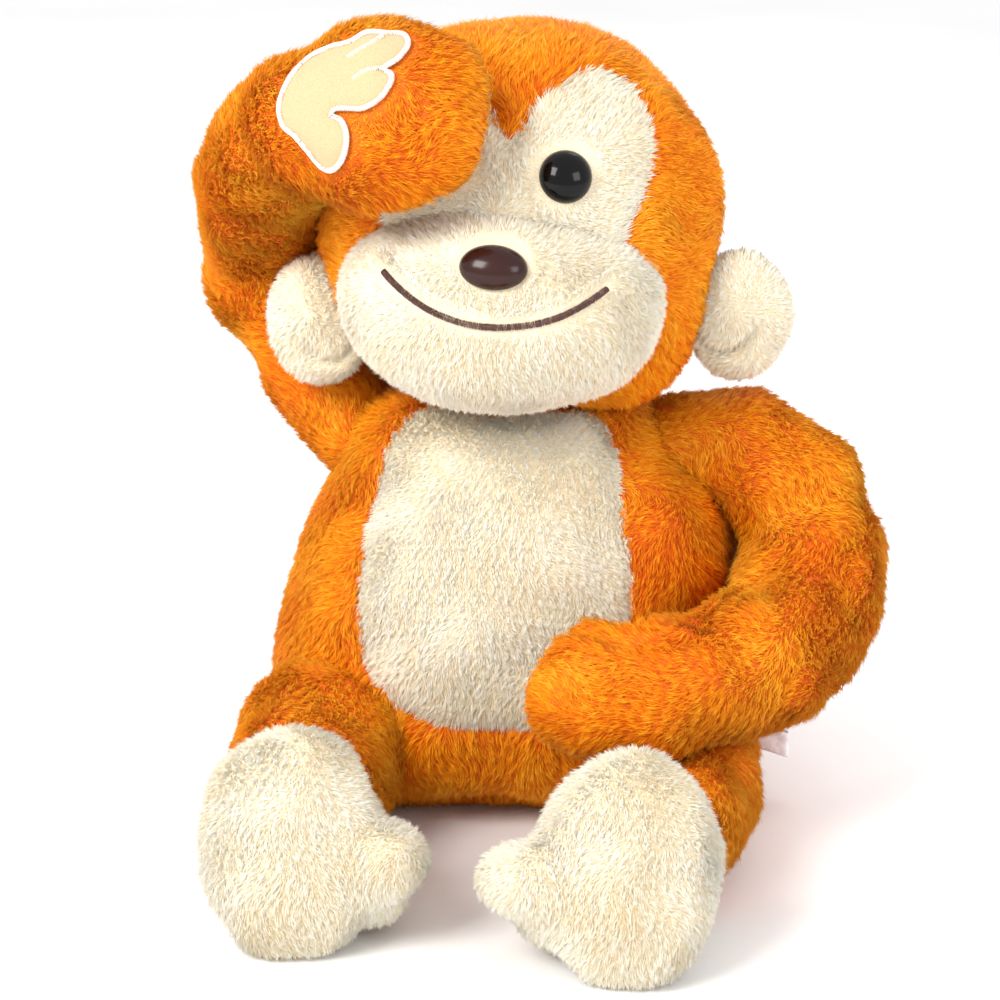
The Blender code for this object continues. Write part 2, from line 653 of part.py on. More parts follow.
def make_foot(side, pivot):
    sign = 1 if side == "right" else -1
    centre = Vector(FOOT_CENTRES[side])
    lean = Matrix.Translation(centre) @ Matrix.Rotation(FOOT_LEAN, 4, "X")
    ankle = LEGS[side][-1]
    heel_rows = (ankle, (*(centre + Vector(HEEL_END)), HEEL_RADIUS, HEEL_RADIUS))
    toe_place = lean @ Matrix.Translation((sign * TOE_OFFSET[0], TOE_OFFSET[1], TOE_OFFSET[2]))

    def sole(inset):
        whole = object_from("sole", egg(lean, FOOT_RADII, inset, 14, 10))
        combine(whole, cutter(egg(toe_place, TOE_RADII, inset, 10, 6)), "UNION")
        heel = [(x, y, z, wide - HEEL_INSET, flat - HEEL_INSET) for x, y, z, wide, flat in heel_rows]
        combine(whole, cutter(tube(heel, (1, 0, 0), inset, 3)), "UNION")
        floor = [(-REACH, inset - REACH), (REACH, inset - REACH), (REACH, inset), (-REACH, inset)]
        combine(whole, cutter(prism(floor, Matrix(), -2 * REACH, REACH)))
        return whole

    skin = sole(0.0)
    combine(skin, sole(SKIN))
    core = sole(SKIN + FILL_GAP)
    setback, radius = ANKLE_OPENING
    opening = ball(Vector(ankle[:3]) + Vector((0, setback, 0)), radius)
    for piece in (skin, core):
        combine(piece, cutter(opening()))
    finish_piece(skin, f"foot_{side}_skin", "cream_plush", pivot)
    finish_piece(core, f"foot_{side}_filling", "fibre_filling", pivot)


def make_tail(pivots):
    setback, radius = TAIL_OPENING
    opening = ball(Vector(TAIL[0][:3]) - Vector((0, setback, 0)), radius)
    stuffed("tail", lambda inset: tube(TAIL, (0, 0, 1), inset, 7, 8), "orange_plush", pivots["tail"],
            [opening])


def main():
    clear_scene()
    pivots = body_empties()
    make_body()
    make_head(pivots)
    make_tail(pivots)
    for side in ("left", "right"):
        make_ear(side, pivots)
        make_arm(side, pivots)
        make_leg(side, pivots)


main()
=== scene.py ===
"""Looks of a seated plush monkey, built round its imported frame.

Every stuffed part starts from the solids of the frame: their shapes are remeshed as
one skin, smoothed, and sculpted with seams and folds. The pile is real geometry: thin
tapered fibres that grow from the skins, lean with the nap and gather into tufts.
"""

import json
import math

import bmesh
import bpy
import numpy as np
from mathutils import Matrix, Vector
from mathutils.bvhtree import BVHTree
from mathutils.geometry import delaunay_2d_cdt


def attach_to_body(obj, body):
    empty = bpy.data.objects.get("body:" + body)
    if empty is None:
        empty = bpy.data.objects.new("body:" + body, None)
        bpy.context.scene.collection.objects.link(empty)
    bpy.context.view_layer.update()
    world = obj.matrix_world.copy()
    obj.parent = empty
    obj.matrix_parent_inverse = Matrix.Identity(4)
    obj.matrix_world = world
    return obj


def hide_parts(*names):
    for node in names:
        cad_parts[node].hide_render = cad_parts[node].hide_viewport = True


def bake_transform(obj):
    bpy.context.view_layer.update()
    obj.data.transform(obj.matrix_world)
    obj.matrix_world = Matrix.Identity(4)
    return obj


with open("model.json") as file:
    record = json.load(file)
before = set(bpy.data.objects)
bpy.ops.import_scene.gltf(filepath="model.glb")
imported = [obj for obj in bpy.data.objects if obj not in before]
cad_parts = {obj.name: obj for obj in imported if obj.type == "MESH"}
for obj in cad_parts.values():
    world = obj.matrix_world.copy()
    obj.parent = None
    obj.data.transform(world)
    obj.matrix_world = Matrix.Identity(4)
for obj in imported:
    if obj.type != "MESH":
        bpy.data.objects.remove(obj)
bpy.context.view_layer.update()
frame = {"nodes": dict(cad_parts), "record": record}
NODES = frame["nodes"]
JOINTS = {joint["name"]: joint for joint in frame["record"]["behaviour"]["joints"]}

# Camera, on the toy's front and a little above it
CAMERA_AZIMUTH = math.radians(4.5)
CAMERA_ELEVATION = math.radians(18.0)
CAMERA_DISTANCE = 1.40
CAMERA_LENS = 100.0
CAMERA_TARGET = Vector((0.0, -0.03, 0.160))

# Skins
VOXEL = 0.003
FLOOR_GAP = 0.0006

# The head's own frame: its middle and its turn
HEAD_MIDDLE = np.array((0.007, 0.0, 0.303))
HEAD_TURN = Matrix.Rotation(math.radians(3.4), 4, "Y") @ Matrix.Rotation(math.radians(-2.0), 4, "Z")

# Pile: the long orange and the short cream
PILE_LENGTH = 0.0068
PILE_DENSITY = 1.48e6
PILE_LEAN = (0.70, 1.22)
SHORT_PILE = {"density": 2.4e6, "lean": (0.35, 0.80), "width": 0.85, "tuft": 0.8}
SHORT_LENGTH = 0.0044
SHORTEST_LENGTH = 0.0042
LEAST_REACH = 0.0008
ROOT_DEPTH = 0.0004
BENT_SHARE = 0.36
FIBRE_WIDTH = 0.00025
UNDER_WIDTH = 0.00036
MOST_FACES = 185_000
TUFT_SIZE = 0.0048
TUFT_PULL = 0.0016
WIDE_TUFTS = 3.1
NAP_DRIFT = 0.035

# How far the eyes and the nose sit below their solids' middles
BUTTON_DROP = 0.0020


# Small tools

def node_points(name):
    mesh = NODES[name].data
    points = np.empty(len(mesh.vertices) * 3)
    mesh.vertices.foreach_get("co", points)
    return points.reshape(-1, 3)


def unit(rows):
    rows = np.asarray(rows, float)
    return rows / np.maximum(np.linalg.norm(rows, axis=-1, keepdims=True), 1e-9)


def smoothstep(low, high, value):
    share = np.clip((value - low) / (high - low), 0, 1)
    return share * share * (3 - 2 * share)


def curve_through(points, count, closed=False):
    """count rows spread evenly along a Catmull-Rom curve through the rows of points."""
    rows = np.array(points, float)
    if closed:
        rows = np.vstack([rows[-1:], rows, rows[:2]])
    else:
        rows = np.vstack([2 * rows[0] - rows[1], rows, 2 * rows[-1] - rows[-2]])
    steps = np.linspace(0, 1, 16, endpoint=False)[:, None]
    parts = []
    for before, start, end, after in zip(rows, rows[1:], rows[2:], rows[3:]):
        parts.append(0.5 * (2 * start + (end - before) * steps
                            + (2 * before - 5 * start + 4 * end - after) * steps ** 2
                            + (3 * start - before - 3 * end + after) * steps ** 3))
    dense = np.vstack([*parts, rows[-2:-1]])
    run = np.concatenate([[0], np.cumsum(np.linalg.norm(np.diff(dense, axis=0), axis=1))])
    wanted = np.linspace(0, run[-1], count, endpoint=not closed)
    return np.column_stack([np.interp(wanted, run, column) for column in dense.T])


def distance_to_line(points, line, closed=True):
    """The distance of each 2-D point to a line of short straight runs."""
    ends = np.roll(line, -1, axis=0) if closed else line[1:]
    starts = line if closed else line[:-1]
    best = np.full(len(points), np.inf)
    for start, end in zip(starts, ends):
        run = end - start
        share = np.clip((points - start) @ run / max(run @ run, 1e-12), 0, 1)
        best = np.minimum(best, np.linalg.norm(points - start - share[:, None] * run, axis=1))
    return best


def inside_line(points, line):
    """Which 2-D points are inside a closed line."""
    inside = np.zeros(len(points), bool)
    x, y = points.T
    for (x0, y0), (x1, y1) in zip(line, np.roll(line, -1, axis=0)):
        crosses = (y0 > y) != (y1 > y)
        with np.errstate(divide="ignore", invalid="ignore"):
            inside ^= crosses & (x < (x1 - x0) * (y - y0) / (y1 - y0) + x0)
    return inside


class Ripple:
    """A smooth random field: a sum of plane waves whose lengths are near size."""

    def __init__(self, size, seed, waves=14):
        rng = np.random.default_rng(seed)
        self.rates = unit(rng.normal(size=(waves, 3))) * (2 * math.pi / size)
        self.rates /= rng.uniform(0.75, 1.45, waves)[:, None]
        self.phases = rng.uniform(0, 2 * math.pi, waves)
        self.scale = math.sqrt(2 / waves)
        self.size = size

    def value(self, points):
        return np.sin(points @ self.rates.T + self.phases).sum(axis=1) * self.scale

    def slope(self, points):
        steep = np.cos(points @ self.rates.T + self.phases) @ self.rates
        return steep * self.scale * self.size / (2 * math.pi)


# Skins

def object_from(name, form):
    mesh = bpy.data.meshes.new(name)
    form.to_mesh(mesh)
    form.free()
    made = bpy.data.objects.new(name, mesh)
    bpy.context.scene.collection.objects.link(made)
    return made


def apply_modifiers(piece):
    bpy.context.view_layer.update()
    graph = bpy.context.evaluated_depsgraph_get()
    mesh = bpy.data.meshes.new_from_object(piece.evaluated_get(graph))
    piece.modifiers.clear()
    old = piece.data
    piece.data = mesh
    bpy.data.meshes.remove(old)
    return piece


def grown(form, distance):
    """Moves each vertex of a bmesh out along its normal."""
    form.normal_update()
    for vertex in form.verts:
        vertex.co += vertex.normal * distance * min(vertex.calc_shell_factor(), 1.25)


def hull_of(names, grow):
    form = bmesh.new()
    for name in names:
        for point in node_points(name):
            form.verts.new(point)
    result = bmesh.ops.convex_hull(form, input=form.verts)
    loose = [item for item in result["geom_interior"] + result["geom_unused"]
             if isinstance(item, bmesh.types.BMVert)]
    bmesh.ops.delete(form, geom=list(set(loose)), context="VERTS")
    bmesh.ops.recalc_face_normals(form, faces=form.faces)
    grown(form, grow)
    return form


def copies_of(names, grow):
    form = bmesh.new()
    for name in names:
        part = bmesh.new()
        part.from_mesh(NODES[name].data)
        bmesh.ops.remove_doubles(part, verts=part.verts, dist=1e-5)
        bmesh.ops.recalc_face_normals(part, faces=part.faces)
        grown(part, grow)
        mesh = bpy.data.meshes.new("part")
        part.to_mesh(mesh)
        part.free()
        form.from_mesh(mesh)
        bpy.data.meshes.remove(mesh)
    return form


def skin_from(name, form, smooth=12, voxel=VOXEL):
    """One smooth closed skin from a bmesh of overlapping solids."""
    piece = object_from(name, form)
    remesh = piece.modifiers.new("Remesh", "REMESH")
    remesh.mode = "VOXEL"
    remesh.voxel_size = voxel
    relax = piece.modifiers.new("Smooth", "SMOOTH")
    relax.factor = 0.6
    relax.iterations = smooth
    return apply_modifiers(piece)


class Surface:
    """A skin's points, normals and triangles as arrays."""

    def __init__(self, piece):
        mesh = piece.data
        mesh.calc_loop_triangles()
        self.points = np.empty(len(mesh.vertices) * 3)
        mesh.vertices.foreach_get("co", self.points)
        self.points = self.points.reshape(-1, 3)
        self.normals = np.empty(len(mesh.vertices) * 3)
        mesh.vertex_normals.foreach_get("vector", self.normals)
        self.normals = self.normals.reshape(-1, 3)
        self.triangles = np.empty(len(mesh.loop_triangles) * 3, np.int32)
        mesh.loop_triangles.foreach_get("vertices", self.triangles)
        self.triangles = self.triangles.reshape(-1, 3)

    def scatter(self, density, rng, keep):
        """Random points on the triangles whose middles keep allows, with their normals."""
        corners = self.points[self.triangles]
        chosen = keep(corners.mean(axis=1))
        triangles = self.triangles[chosen]
        corners = corners[chosen]
        sides = corners[:, 1:] - corners[:, :1]
        areas = np.linalg.norm(np.cross(sides[:, 0], sides[:, 1]), axis=1) / 2
        count = int(areas.sum() * density)
        index = rng.choice(len(triangles), count, p=areas / areas.sum())
        share = rng.random((count, 2))
        over = share.sum(axis=1) > 1
        share[over] = 1 - share[over]
        weights = np.column_stack([1 - share.sum(axis=1), share])[:, :, None]
        picked = triangles[index]
        roots = (self.points[picked] * weights).sum(axis=1)
        return roots, unit((self.normals[picked] * weights).sum(axis=1))


def sculpt(piece, shape):
    """Moves each vertex out along its normal by what shape(points, normals) returns."""
    surface = Surface(piece)
    moved = surface.points + surface.normals * shape(surface.points, surface.normals)[:, None]
    moved[:, 2] = np.maximum(moved[:, 2], FLOOR_GAP)
    piece.data.vertices.foreach_set("co", moved.astype(np.float32).ravel())
    piece.data.update()
    return piece


def cut_by(piece, names, classes):
    """Splits a skin into one piece for each name, by the class of each face's middle."""
    surface = Surface(piece)
    mesh = piece.data
    middles = np.empty(len(mesh.polygons) * 3)
    mesh.polygons.foreach_get("center", middles)
    found = classes(middles.reshape(-1, 3))
    polygons = [tuple(polygon.vertices) for polygon in mesh.polygons]
    pieces = []
    for wanted, name in enumerate(names):
        rows = [polygon for polygon, kind in zip(polygons, found) if kind == wanted]
        used = np.unique(np.concatenate([np.array(row) for row in rows]))
        place = np.zeros(len(surface.points), int)
        place[used] = np.arange(len(used))
        part = bpy.data.meshes.new(name)
        part.from_pydata(surface.points[used].tolist(), [], [place[list(row)].tolist() for row in rows])
        part.shade_smooth()
        made = bpy.data.objects.new(name, part)
        bpy.context.scene.collection.objects.link(made)
        pieces.append(made)
    bpy.data.objects.remove(piece)
    return pieces


# Materials

def material(name, roughness=0.8, sheen=0.0, sheen_tint=(1, 1, 1), sheen_roughness=0.5):
    made = bpy.data.materials.new(name)
    made.use_nodes = True
    shader = made.node_tree.nodes["Principled BSDF"]
    shader.inputs["Roughness"].default_value = roughness
    shader.inputs["Sheen Weight"].default_value = sheen
    shader.inputs["Sheen Roughness"].default_value = sheen_roughness
    shader.inputs["Sheen Tint"].default_value = (*sheen_tint, 1)
    return made, shader


def mottled(name, dark, light, scale, bump, roughness, sheen=0.0, shine=0.5):
    """A cloth or plastic whose colour and height both follow fine noise."""
    made, shader = material(name, roughness, sheen)
    shader.inputs["Specular IOR Level"].default_value = shine
    nodes, links = made.node_tree.nodes, made.node_tree.links
    place = nodes.new("ShaderNodeTexCoord")
    noise = nodes.new("ShaderNodeTexNoise")
    noise.inputs["Scale"].default_value = scale
    noise.inputs["Detail"].default_value = 6
    ramp = nodes.new("ShaderNodeValToRGB")
    ramp.color_ramp.elements[0].position = 0.35
    ramp.color_ramp.elements[0].color = (*dark, 1)
    ramp.color_ramp.elements[1].position = 0.65
    ramp.color_ramp.elements[1].color = (*light, 1)
    height = nodes.new("ShaderNodeBump")
    height.inputs["Strength"].default_value = bump
    height.inputs["Distance"].default_value = 0.0006
    links.new(place.outputs["Object"], noise.inputs["Vector"])
    links.new(noise.outputs["Fac"], ramp.inputs["Fac"])
    links.new(ramp.outputs["Color"], shader.inputs["Base Color"])
    links.new(noise.outputs["Fac"], height.inputs["Height"])
    links.new(height.outputs["Normal"], shader.inputs["Normal"])
    return made


def pile_tones_and_painted_light(name, colours, roughness, sheen, sheen_tint):
    """One material for each step of a dyed pile's colour, darkest first: lit and shaded copies of the yarn,
    from painted shade to painted highlight.
    """
    made = []
    for index, colour in enumerate(colours):
        shade, shader = material(f"{name}_{index}", roughness, sheen, sheen_tint)
        shader.inputs["Base Color"].default_value = (*colour, 1)
        shader.inputs["Specular IOR Level"].default_value = 0.15
        made.append(shade)
    return made


def mix_range(colours, count):
    """count colours spread along a few given ones."""
    colours = np.array(colours, float)
    places = np.linspace(0, len(colours) - 1, count)
    return [tuple(np.interp(place, np.arange(len(colours)), column) for column in colours.T)
            for place in places]


SHADE_COUNT = 8
# Each yarn's steps run from painted shade (the orange redder there) through the yarn's own tone to painted
# highlight.
ORANGE_TONES_AND_PAINTED_LIGHT = mix_range([(0.78, 0.125, 0.001), (0.92, 0.240, 0.002), (0.97, 0.340, 0.006), (0.99, 0.460, 0.030)],
                   SHADE_COUNT)
CREAM_TONES_AND_PAINTED_LIGHT = mix_range([(0.91, 0.75, 0.49), (0.96, 0.87, 0.67), (0.98, 0.93, 0.79), (0.99, 0.97, 0.90)],
                  SHADE_COUNT)
PALETTES = {
    "orange": pile_tones_and_painted_light("orange_pile", ORANGE_TONES_AND_PAINTED_LIGHT, 0.62, 0.06, (1.0, 0.55, 0.15)),
    "cream": pile_tones_and_painted_light("cream_pile", CREAM_TONES_AND_PAINTED_LIGHT, 0.70, 0.15, (1.0, 0.95, 0.85)),
}
# Backing cloth in the pile's darkest colour or darker: painted shade for what shows between the fibres.
BACKINGS = {
    "orange": mottled("orange_backing_painted_shade", (0.62, 0.11, 0.003), (0.80, 0.17, 0.006), 900, 0.6, 0.9),
    "cream": mottled("cream_backing_painted_shade", (0.78, 0.64, 0.44), (0.88, 0.76, 0.56), 900, 0.6, 0.9),
}


# Pile

def fibre_mesh(name, roots, skin_normals, mids, tips, widths, root_painted_shade, tip_painted_shading, palette):
    """Three-sided fibres: a root ring, a middle ring and a tip, or a root ring and a tip."""
    count = len(roots)
    bent = mids is not None
    axis = unit((mids if bent else tips) - roots)
    across = unit(np.cross(axis, skin_normals) + 1e-6)
    upward = np.cross(axis, across)
    angles = np.array([0.5, 0.5 + 2 / 3, 0.5 + 4 / 3]) * math.pi
    spokes = across[:, None] * np.cos(angles)[:, None] + upward[:, None] * np.sin(angles)[:, None]
    rings = [roots[:, None] + spokes * widths[:, None, None]]
    if bent:
        rings.append(mids[:, None] + spokes * (0.72 * widths[:, None, None]))
    points = np.concatenate([*rings, tips[:, None]], axis=1)
    size = points.shape[1]
    soft = unit(spokes * 0.40 + skin_normals[:, None])
    normals = np.concatenate([soft] * len(rings) + [unit(skin_normals * 0.8 + axis * 0.4)[:, None]], axis=1)
    starts = np.arange(count)[:, None] * size
    faces = []
    kinds = []
    # Root segments take the darker step, painted shade deep in the pile; tips take the step given for them,
    # painted light on the outer fibres.
    if bent:
        for side in range(3):
            after = (side + 1) % 3
            faces.append(starts + np.array([side, after, 3 + after, 3 + side]))
            kinds.append(root_painted_shade)
    top = size - 1
    base = size - 4
    for side in range(3):
        faces.append(starts + np.array([base + side, base + (side + 1) % 3, top]))
        kinds.append(tip_painted_shading)
    loops = np.concatenate([face.ravel() for face in faces])
    sizes = np.concatenate([np.full(count, face.shape[1]) for face in faces])
    mesh = bpy.data.meshes.new(name)
    mesh.vertices.add(count * size)
    mesh.loops.add(len(loops))
    mesh.polygons.add(len(sizes))
    mesh.vertices.foreach_set("co", points.astype(np.float32).ravel())
    mesh.loops.foreach_set("vertex_index", loops.astype(np.int32))
    mesh.polygons.foreach_set("loop_start", np.concatenate([[0], np.cumsum(sizes)[:-1]]).astype(np.int32))
    mesh.polygons.foreach_set("material_index", np.concatenate(kinds).astype(np.int32))
    mesh.polygons.foreach_set("use_smooth", np.ones(len(sizes), bool))
    for shade in palette:
        mesh.materials.append(shade)
    mesh.update(calc_edges=True)
    mesh.normals_split_custom_set_from_vertices(normals.reshape(-1, 3).astype(np.float32))
    return mesh


def pile(name, piece, palette, flow, attach, density=PILE_DENSITY, length=PILE_LENGTH, lean=PILE_LEAN,
         keep=None, trim=None, seed=1, width=1.0, tuft=1.0):
    """Grows pile on a skin, in as many pieces as the size of each allows, and attaches them."""
    rng = np.random.default_rng(seed)
    surface = Surface(piece)
    keep = keep or (lambda points: np.ones(len(points), bool))
    roots, normals = surface.scatter(density, rng, keep)
    count = len(roots)
    nap = flow(roots, normals)
    nap = unit(nap - normals * (nap * normals).sum(axis=1)[:, None])
    size = TUFT_SIZE * (0.45 + 0.55 * length / PILE_LENGTH)
    tufts = Ripple(size, 11)
    wide_tufts = Ripple(size * WIDE_TUFTS, 12)
    drift = Ripple(NAP_DRIFT, 13)
    turn = drift.value(roots)[:, None] * 0.5 + rng.normal(0, 0.22, (count, 1))
    nap = unit(nap * np.cos(turn) + np.cross(normals, nap) * np.sin(turn))
    crowd = tufts.value(roots) + 0.4 * wide_tufts.value(roots)
    reach = length * np.clip(1 + 0.10 * crowd + rng.normal(0, 0.13, count), 0.5, 1.5)
    if trim is not None:
        reach = reach * trim(roots)
        live = reach > LEAST_REACH
        roots, normals, nap, crowd, reach = (row[live] for row in (roots, normals, nap, crowd, reach))
        count = len(roots)
    spread = rng.normal(0, 0.13, count)
    low_lean, high_lean = lean[0] + spread, lean[1] + spread
    first = normals * np.cos(low_lean)[:, None] + nap * np.sin(low_lean)[:, None]
    second = normals * np.cos(high_lean)[:, None] + nap * np.sin(high_lean)[:, None]
    pull = tufts.slope(roots) + 0.3 * wide_tufts.slope(roots)
    pull -= normals * (pull * normals).sum(axis=1)[:, None]
    pull *= (TUFT_PULL * tuft) * (reach / PILE_LENGTH)[:, None]
    roots = roots - normals * ROOT_DEPTH
    mids = roots + first * (reach * 0.5)[:, None] + pull * 0.35
    tips = mids + second * (reach * 0.5)[:, None] + pull * 0.65
    for row in (roots, mids, tips):
        row[:, 2] = np.maximum(row[:, 2], FLOOR_GAP)
    # Colour step of each fibre: lighter at tuft middles and darker in the hollows between tufts, painted
    # light and shade; the drift and the noise are the yarn's own uneven tone.
    tone_and_painted_shade = SHADE_COUNT * (0.52 + 0.08 * crowd + 0.07 * drift.value(roots * 0.7)) + rng.normal(0, 0.5, count)
    # Roots 1.5 steps darker, painted shade deep in the pile; tips 0.6 steps lighter, painted light on their
    # ends.
    low = np.clip(tone_and_painted_shade - 1.5, 0, SHADE_COUNT - 1).astype(int)
    high = np.clip(tone_and_painted_shade + 0.6, 0, SHADE_COUNT - 1).astype(int)
    outer = rng.random(count) < BENT_SHARE
    widths = np.where(outer, FIBRE_WIDTH, UNDER_WIDTH) * width * rng.uniform(0.8, 1.25, count)
    budget = np.cumsum(np.where(outer, 9, 3)) // MOST_FACES
    for part in range(budget[-1] + 1):
        label = f"{name}_pile_{chr(97 + part)}"
        chosen = budget == part
        bent = chosen & outer
        plain = chosen & ~outer
        meshes = [
            fibre_mesh(label, roots[bent], normals[bent], mids[bent], tips[bent], widths[bent],
                       low[bent], high[bent], PALETTES[palette]),
            # The short under fibres take the dark root step all along: painted shade beneath the outer
            # fibres.
            fibre_mesh(label, roots[plain], normals[plain], None, roots[plain] * 0.12 + tips[plain] * 0.88,
                       widths[plain], low[plain], low[plain], PALETTES[palette]),
        ]
        made = [bpy.data.objects.new(label, mesh) for mesh in meshes]
        for half in made:
            half.name = label
            bpy.context.scene.collection.objects.link(half)
        with bpy.context.temp_override(active_object=made[0], selected_editable_objects=made,
                                       selected_objects=made, object=made[0]):
            bpy.ops.object.join()
        made[0].name = label
        attach(made[0])


# Places taken from the frame's nodes and joints

def middle_of(name):
    return node_points(name).mean(axis=0)


def joint_place(name):
    return np.array(JOINTS[name]["pos_m"], float)


HEAD_AXES = np.array(HEAD_TURN.to_3x3())
FACE_LINE = curve_through([
    (0.000, 0.046), (0.013, 0.066), (0.034, 0.077), (0.056, 0.066), (0.066, 0.043), (0.060, 0.014),
    (0.050, -0.020), (0.030, -0.045), (0.000, -0.052), (-0.030, -0.045), (-0.050, -0.020),
    (-0.060, 0.014), (-0.066, 0.043), (-0.056, 0.066), (-0.034, 0.077), (-0.013, 0.066)], 80, closed=True)
BELLY_LINE = curve_through([
    (-0.046, 0.202), (0.002, 0.206), (0.050, 0.202), (0.063, 0.165), (0.068, 0.125), (0.060, 0.086),
    (0.034, 0.066), (-0.002, 0.061), (-0.038, 0.066), (-0.062, 0.088), (-0.067, 0.125),
    (-0.061, 0.165)], 70, closed=True)
MOUTH_SPAN = 0.0518
MOUTH_TOP = -0.0142
MOUTH_DROP = 0.0175


def in_head(points):
    """Points in the head's own frame: x to its left, -y ahead, z up, from its middle."""
    return (points - HEAD_MIDDLE) @ HEAD_AXES


def from_head(points):
    return np.asarray(points) @ HEAD_AXES.T + HEAD_MIDDLE


def skin_tree(piece):
    form = bmesh.new()
    form.from_mesh(piece.data)
    tree = BVHTree.FromBMesh(form)
    form.free()
    return tree


def cast(tree, starts, direction):
    """Where rays from the starts meet a skin, and its normals there."""
    hits = []
    normals = []
    for start in starts:
        place, normal, _, _ = tree.ray_cast(Vector(start), Vector(direction))
        if place is None:
            place, normal, _, _ = tree.find_nearest(Vector(start))
        hits.append(place)
        normals.append(normal)
    return np.array(hits), unit(np.array(normals))


# Sewn and moulded details

def swept(name, paths, radii, sides=6):
    """Thin closed tubes, one along each path of points, as one mesh."""
    form = bmesh.new()
    for path, path_radii in zip(paths, radii):
        tangents = unit(np.gradient(path, axis=0))
        side = unit(np.cross(tangents, (0.31, 0.52, 0.79)))
        up = np.cross(tangents, side)
        rings = []
        for point, one, other, radius in zip(path, side, up, path_radii):
            turns = np.arange(sides) * 2 * math.pi / sides
            ring = point + radius * (np.cos(turns)[:, None] * one + np.sin(turns)[:, None] * other)
            rings.append([form.verts.new(corner) for corner in ring])
        for low, high in zip(rings, rings[1:]):
            for index in range(sides):
                after = (index + 1) % sides
                form.faces.new((low[index], low[after], high[after], high[index]))
        form.faces.new(list(reversed(rings[0])))
        form.faces.new(rings[-1])
    made = object_from(name, form)
    made.data.shade_smooth()
    return made


def satin(name, line, normals, width, spacing, height, thread, closed=True):
    """A satin-stitched line: close threads laid across it, each an arch from edge to edge."""
    count = int(np.linalg.norm(np.diff(line, axis=0), axis=1).sum() / spacing)
    rows = curve_through(np.hstack([line, normals * 0.05])[:: max(1, len(line) // 60)], count, closed)
    points, outward = rows[:, :3], unit(rows[:, 3:])
    if closed:
        along = unit(np.roll(points, -1, axis=0) - np.roll(points, 1, axis=0))
    else:
        along = unit(np.gradient(points, axis=0))
    across = unit(np.cross(along, outward))
    rng = np.random.default_rng(5)
    shares = np.linspace(-1, 1, 6)
    paths = []
    for point, out, step, forward in zip(points, outward, across, along):
        reach = width / 2 * rng.uniform(0.92, 1.08)
        slant = forward * spacing * rng.normal(0.5, 0.25)
        arch = height * (1 - np.abs(shares) ** 3)
        paths.append(point + step * (shares * reach)[:, None] + out * arch[:, None] + slant * shares[:, None])
    return swept(name, paths, [np.full(len(shares), thread)] * len(paths), sides=5)


def dome(name, place, radii, height, shade):
    """A button with a rounded rim, its flat side on the place's plane."""
    form = bmesh.new()
    bmesh.ops.create_uvsphere(form, u_segments=64, v_segments=40, radius=1.0)
    for vertex in form.verts:
        x, y, z = vertex.co
        rise = max(z, 0) ** 0.92 if z > 0 else 0.16 * z
        vertex.co = place @ Vector((x * radii[0], y * radii[1], rise * height))
    made = object_from(name, form)
    made.data.materials.append(shade)
    made.data.shade_smooth()
    return made


def facing(point, outward, upward=(0, 0, 1)):
    """A frame at a point: z along outward, y as near upward as it can be."""
    z = Vector(outward).normalized()
    x = Vector(upward).cross(z).normalized()
    turn = Matrix((x, z.cross(x), z)).transposed()
    return Matrix.Translation(Vector(point)) @ turn.to_4x4()


def filled(name, line, place, tree, gap, grain=0.0022):
    """A panel inside a closed line of the place's plane, laid on a skin at a gap above it."""
    low, high = line.min(axis=0), line.max(axis=0)
    grid = np.stack(np.meshgrid(np.arange(low[0], high[0], grain), np.arange(low[1], high[1], grain)), -1)
    grid = grid.reshape(-1, 2)
    grid = grid[inside_line(grid, line) & (distance_to_line(grid, line) > 0.5 * grain)]
    flat = [Vector(point) for point in np.vstack([line, grid])]
    edges = [(index, (index + 1) % len(line)) for index in range(len(line))]
    points, _, faces, _, _, _ = delaunay_2d_cdt(flat, edges, [], 1, 1e-7)
    points = np.array([tuple(point) for point in points])
    world = on_plane(place, points)
    hits, normals = cast(tree, world + np.array(place.col[2][:3]) * 0.04, -np.array(place.col[2][:3]))
    edge = smoothstep(0, 0.006, distance_to_line(points, line))
    lifted = hits + normals * (gap * (0.55 + 0.45 * edge))[:, None]
    mesh = bpy.data.meshes.new(name)
    mesh.from_pydata(lifted.tolist(), [], faces)
    mesh.shade_smooth()
    made = bpy.data.objects.new(name, mesh)
    bpy.context.scene.collection.objects.link(made)
    return made


def on_plane(place, points):
    turn = np.array(place.to_3x3())
    return points[:, :1] * turn[:, 0] + points[:, 1:2] * turn[:, 1] + np.array(place.translation)


# Parts

def dress(piece, colour, body, nodes):
    """Gives a skin its backing cloth and its place in the frame."""
    piece.data.materials.clear()
    piece.data.materials.append(BACKINGS[colour])
    piece.data.shade_smooth()
    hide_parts(*nodes)
    if isinstance(body, str):
        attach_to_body(piece, body)
    else:
        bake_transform(piece)


def riding(body):
    """How a pile piece moves: with one body, or, given two, it stays fixed where it was grown."""
    def attach(made):
        if isinstance(body, str):
            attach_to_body(made, body)
        else:
            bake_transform(made)
    return attach


def lumps(size, height, seed):
    """The uneven surface of a loosely stuffed part."""
    ripple = Ripple(size, seed)
    return lambda points: height * ripple.value(points)


def off_floor(points):
    return points[:, 2] > 0.0025


def shorter_low(points):
    """The share of its length that pile keeps near the floor."""
    return smoothstep(0.0002, 0.006, points[:, 2]) * 0.6 + 0.4


def steady(direction):
    return lambda points, normals: np.tile(direction, (len(points), 1)).astype(float)


def along_limb(line):
    """A nap that runs along a limb's middle line, from its root to its end."""
    line = np.array(line, float)
    middles = (line[1:] + line[:-1]) / 2
    ways = unit(np.diff(line, axis=0))

    def flow(points, normals):
        near = 1 / (np.linalg.norm(points[:, None] - middles, axis=2) ** 4 + 1e-9)
        return unit((near[:, :, None] * ways).sum(axis=1))
    return flow


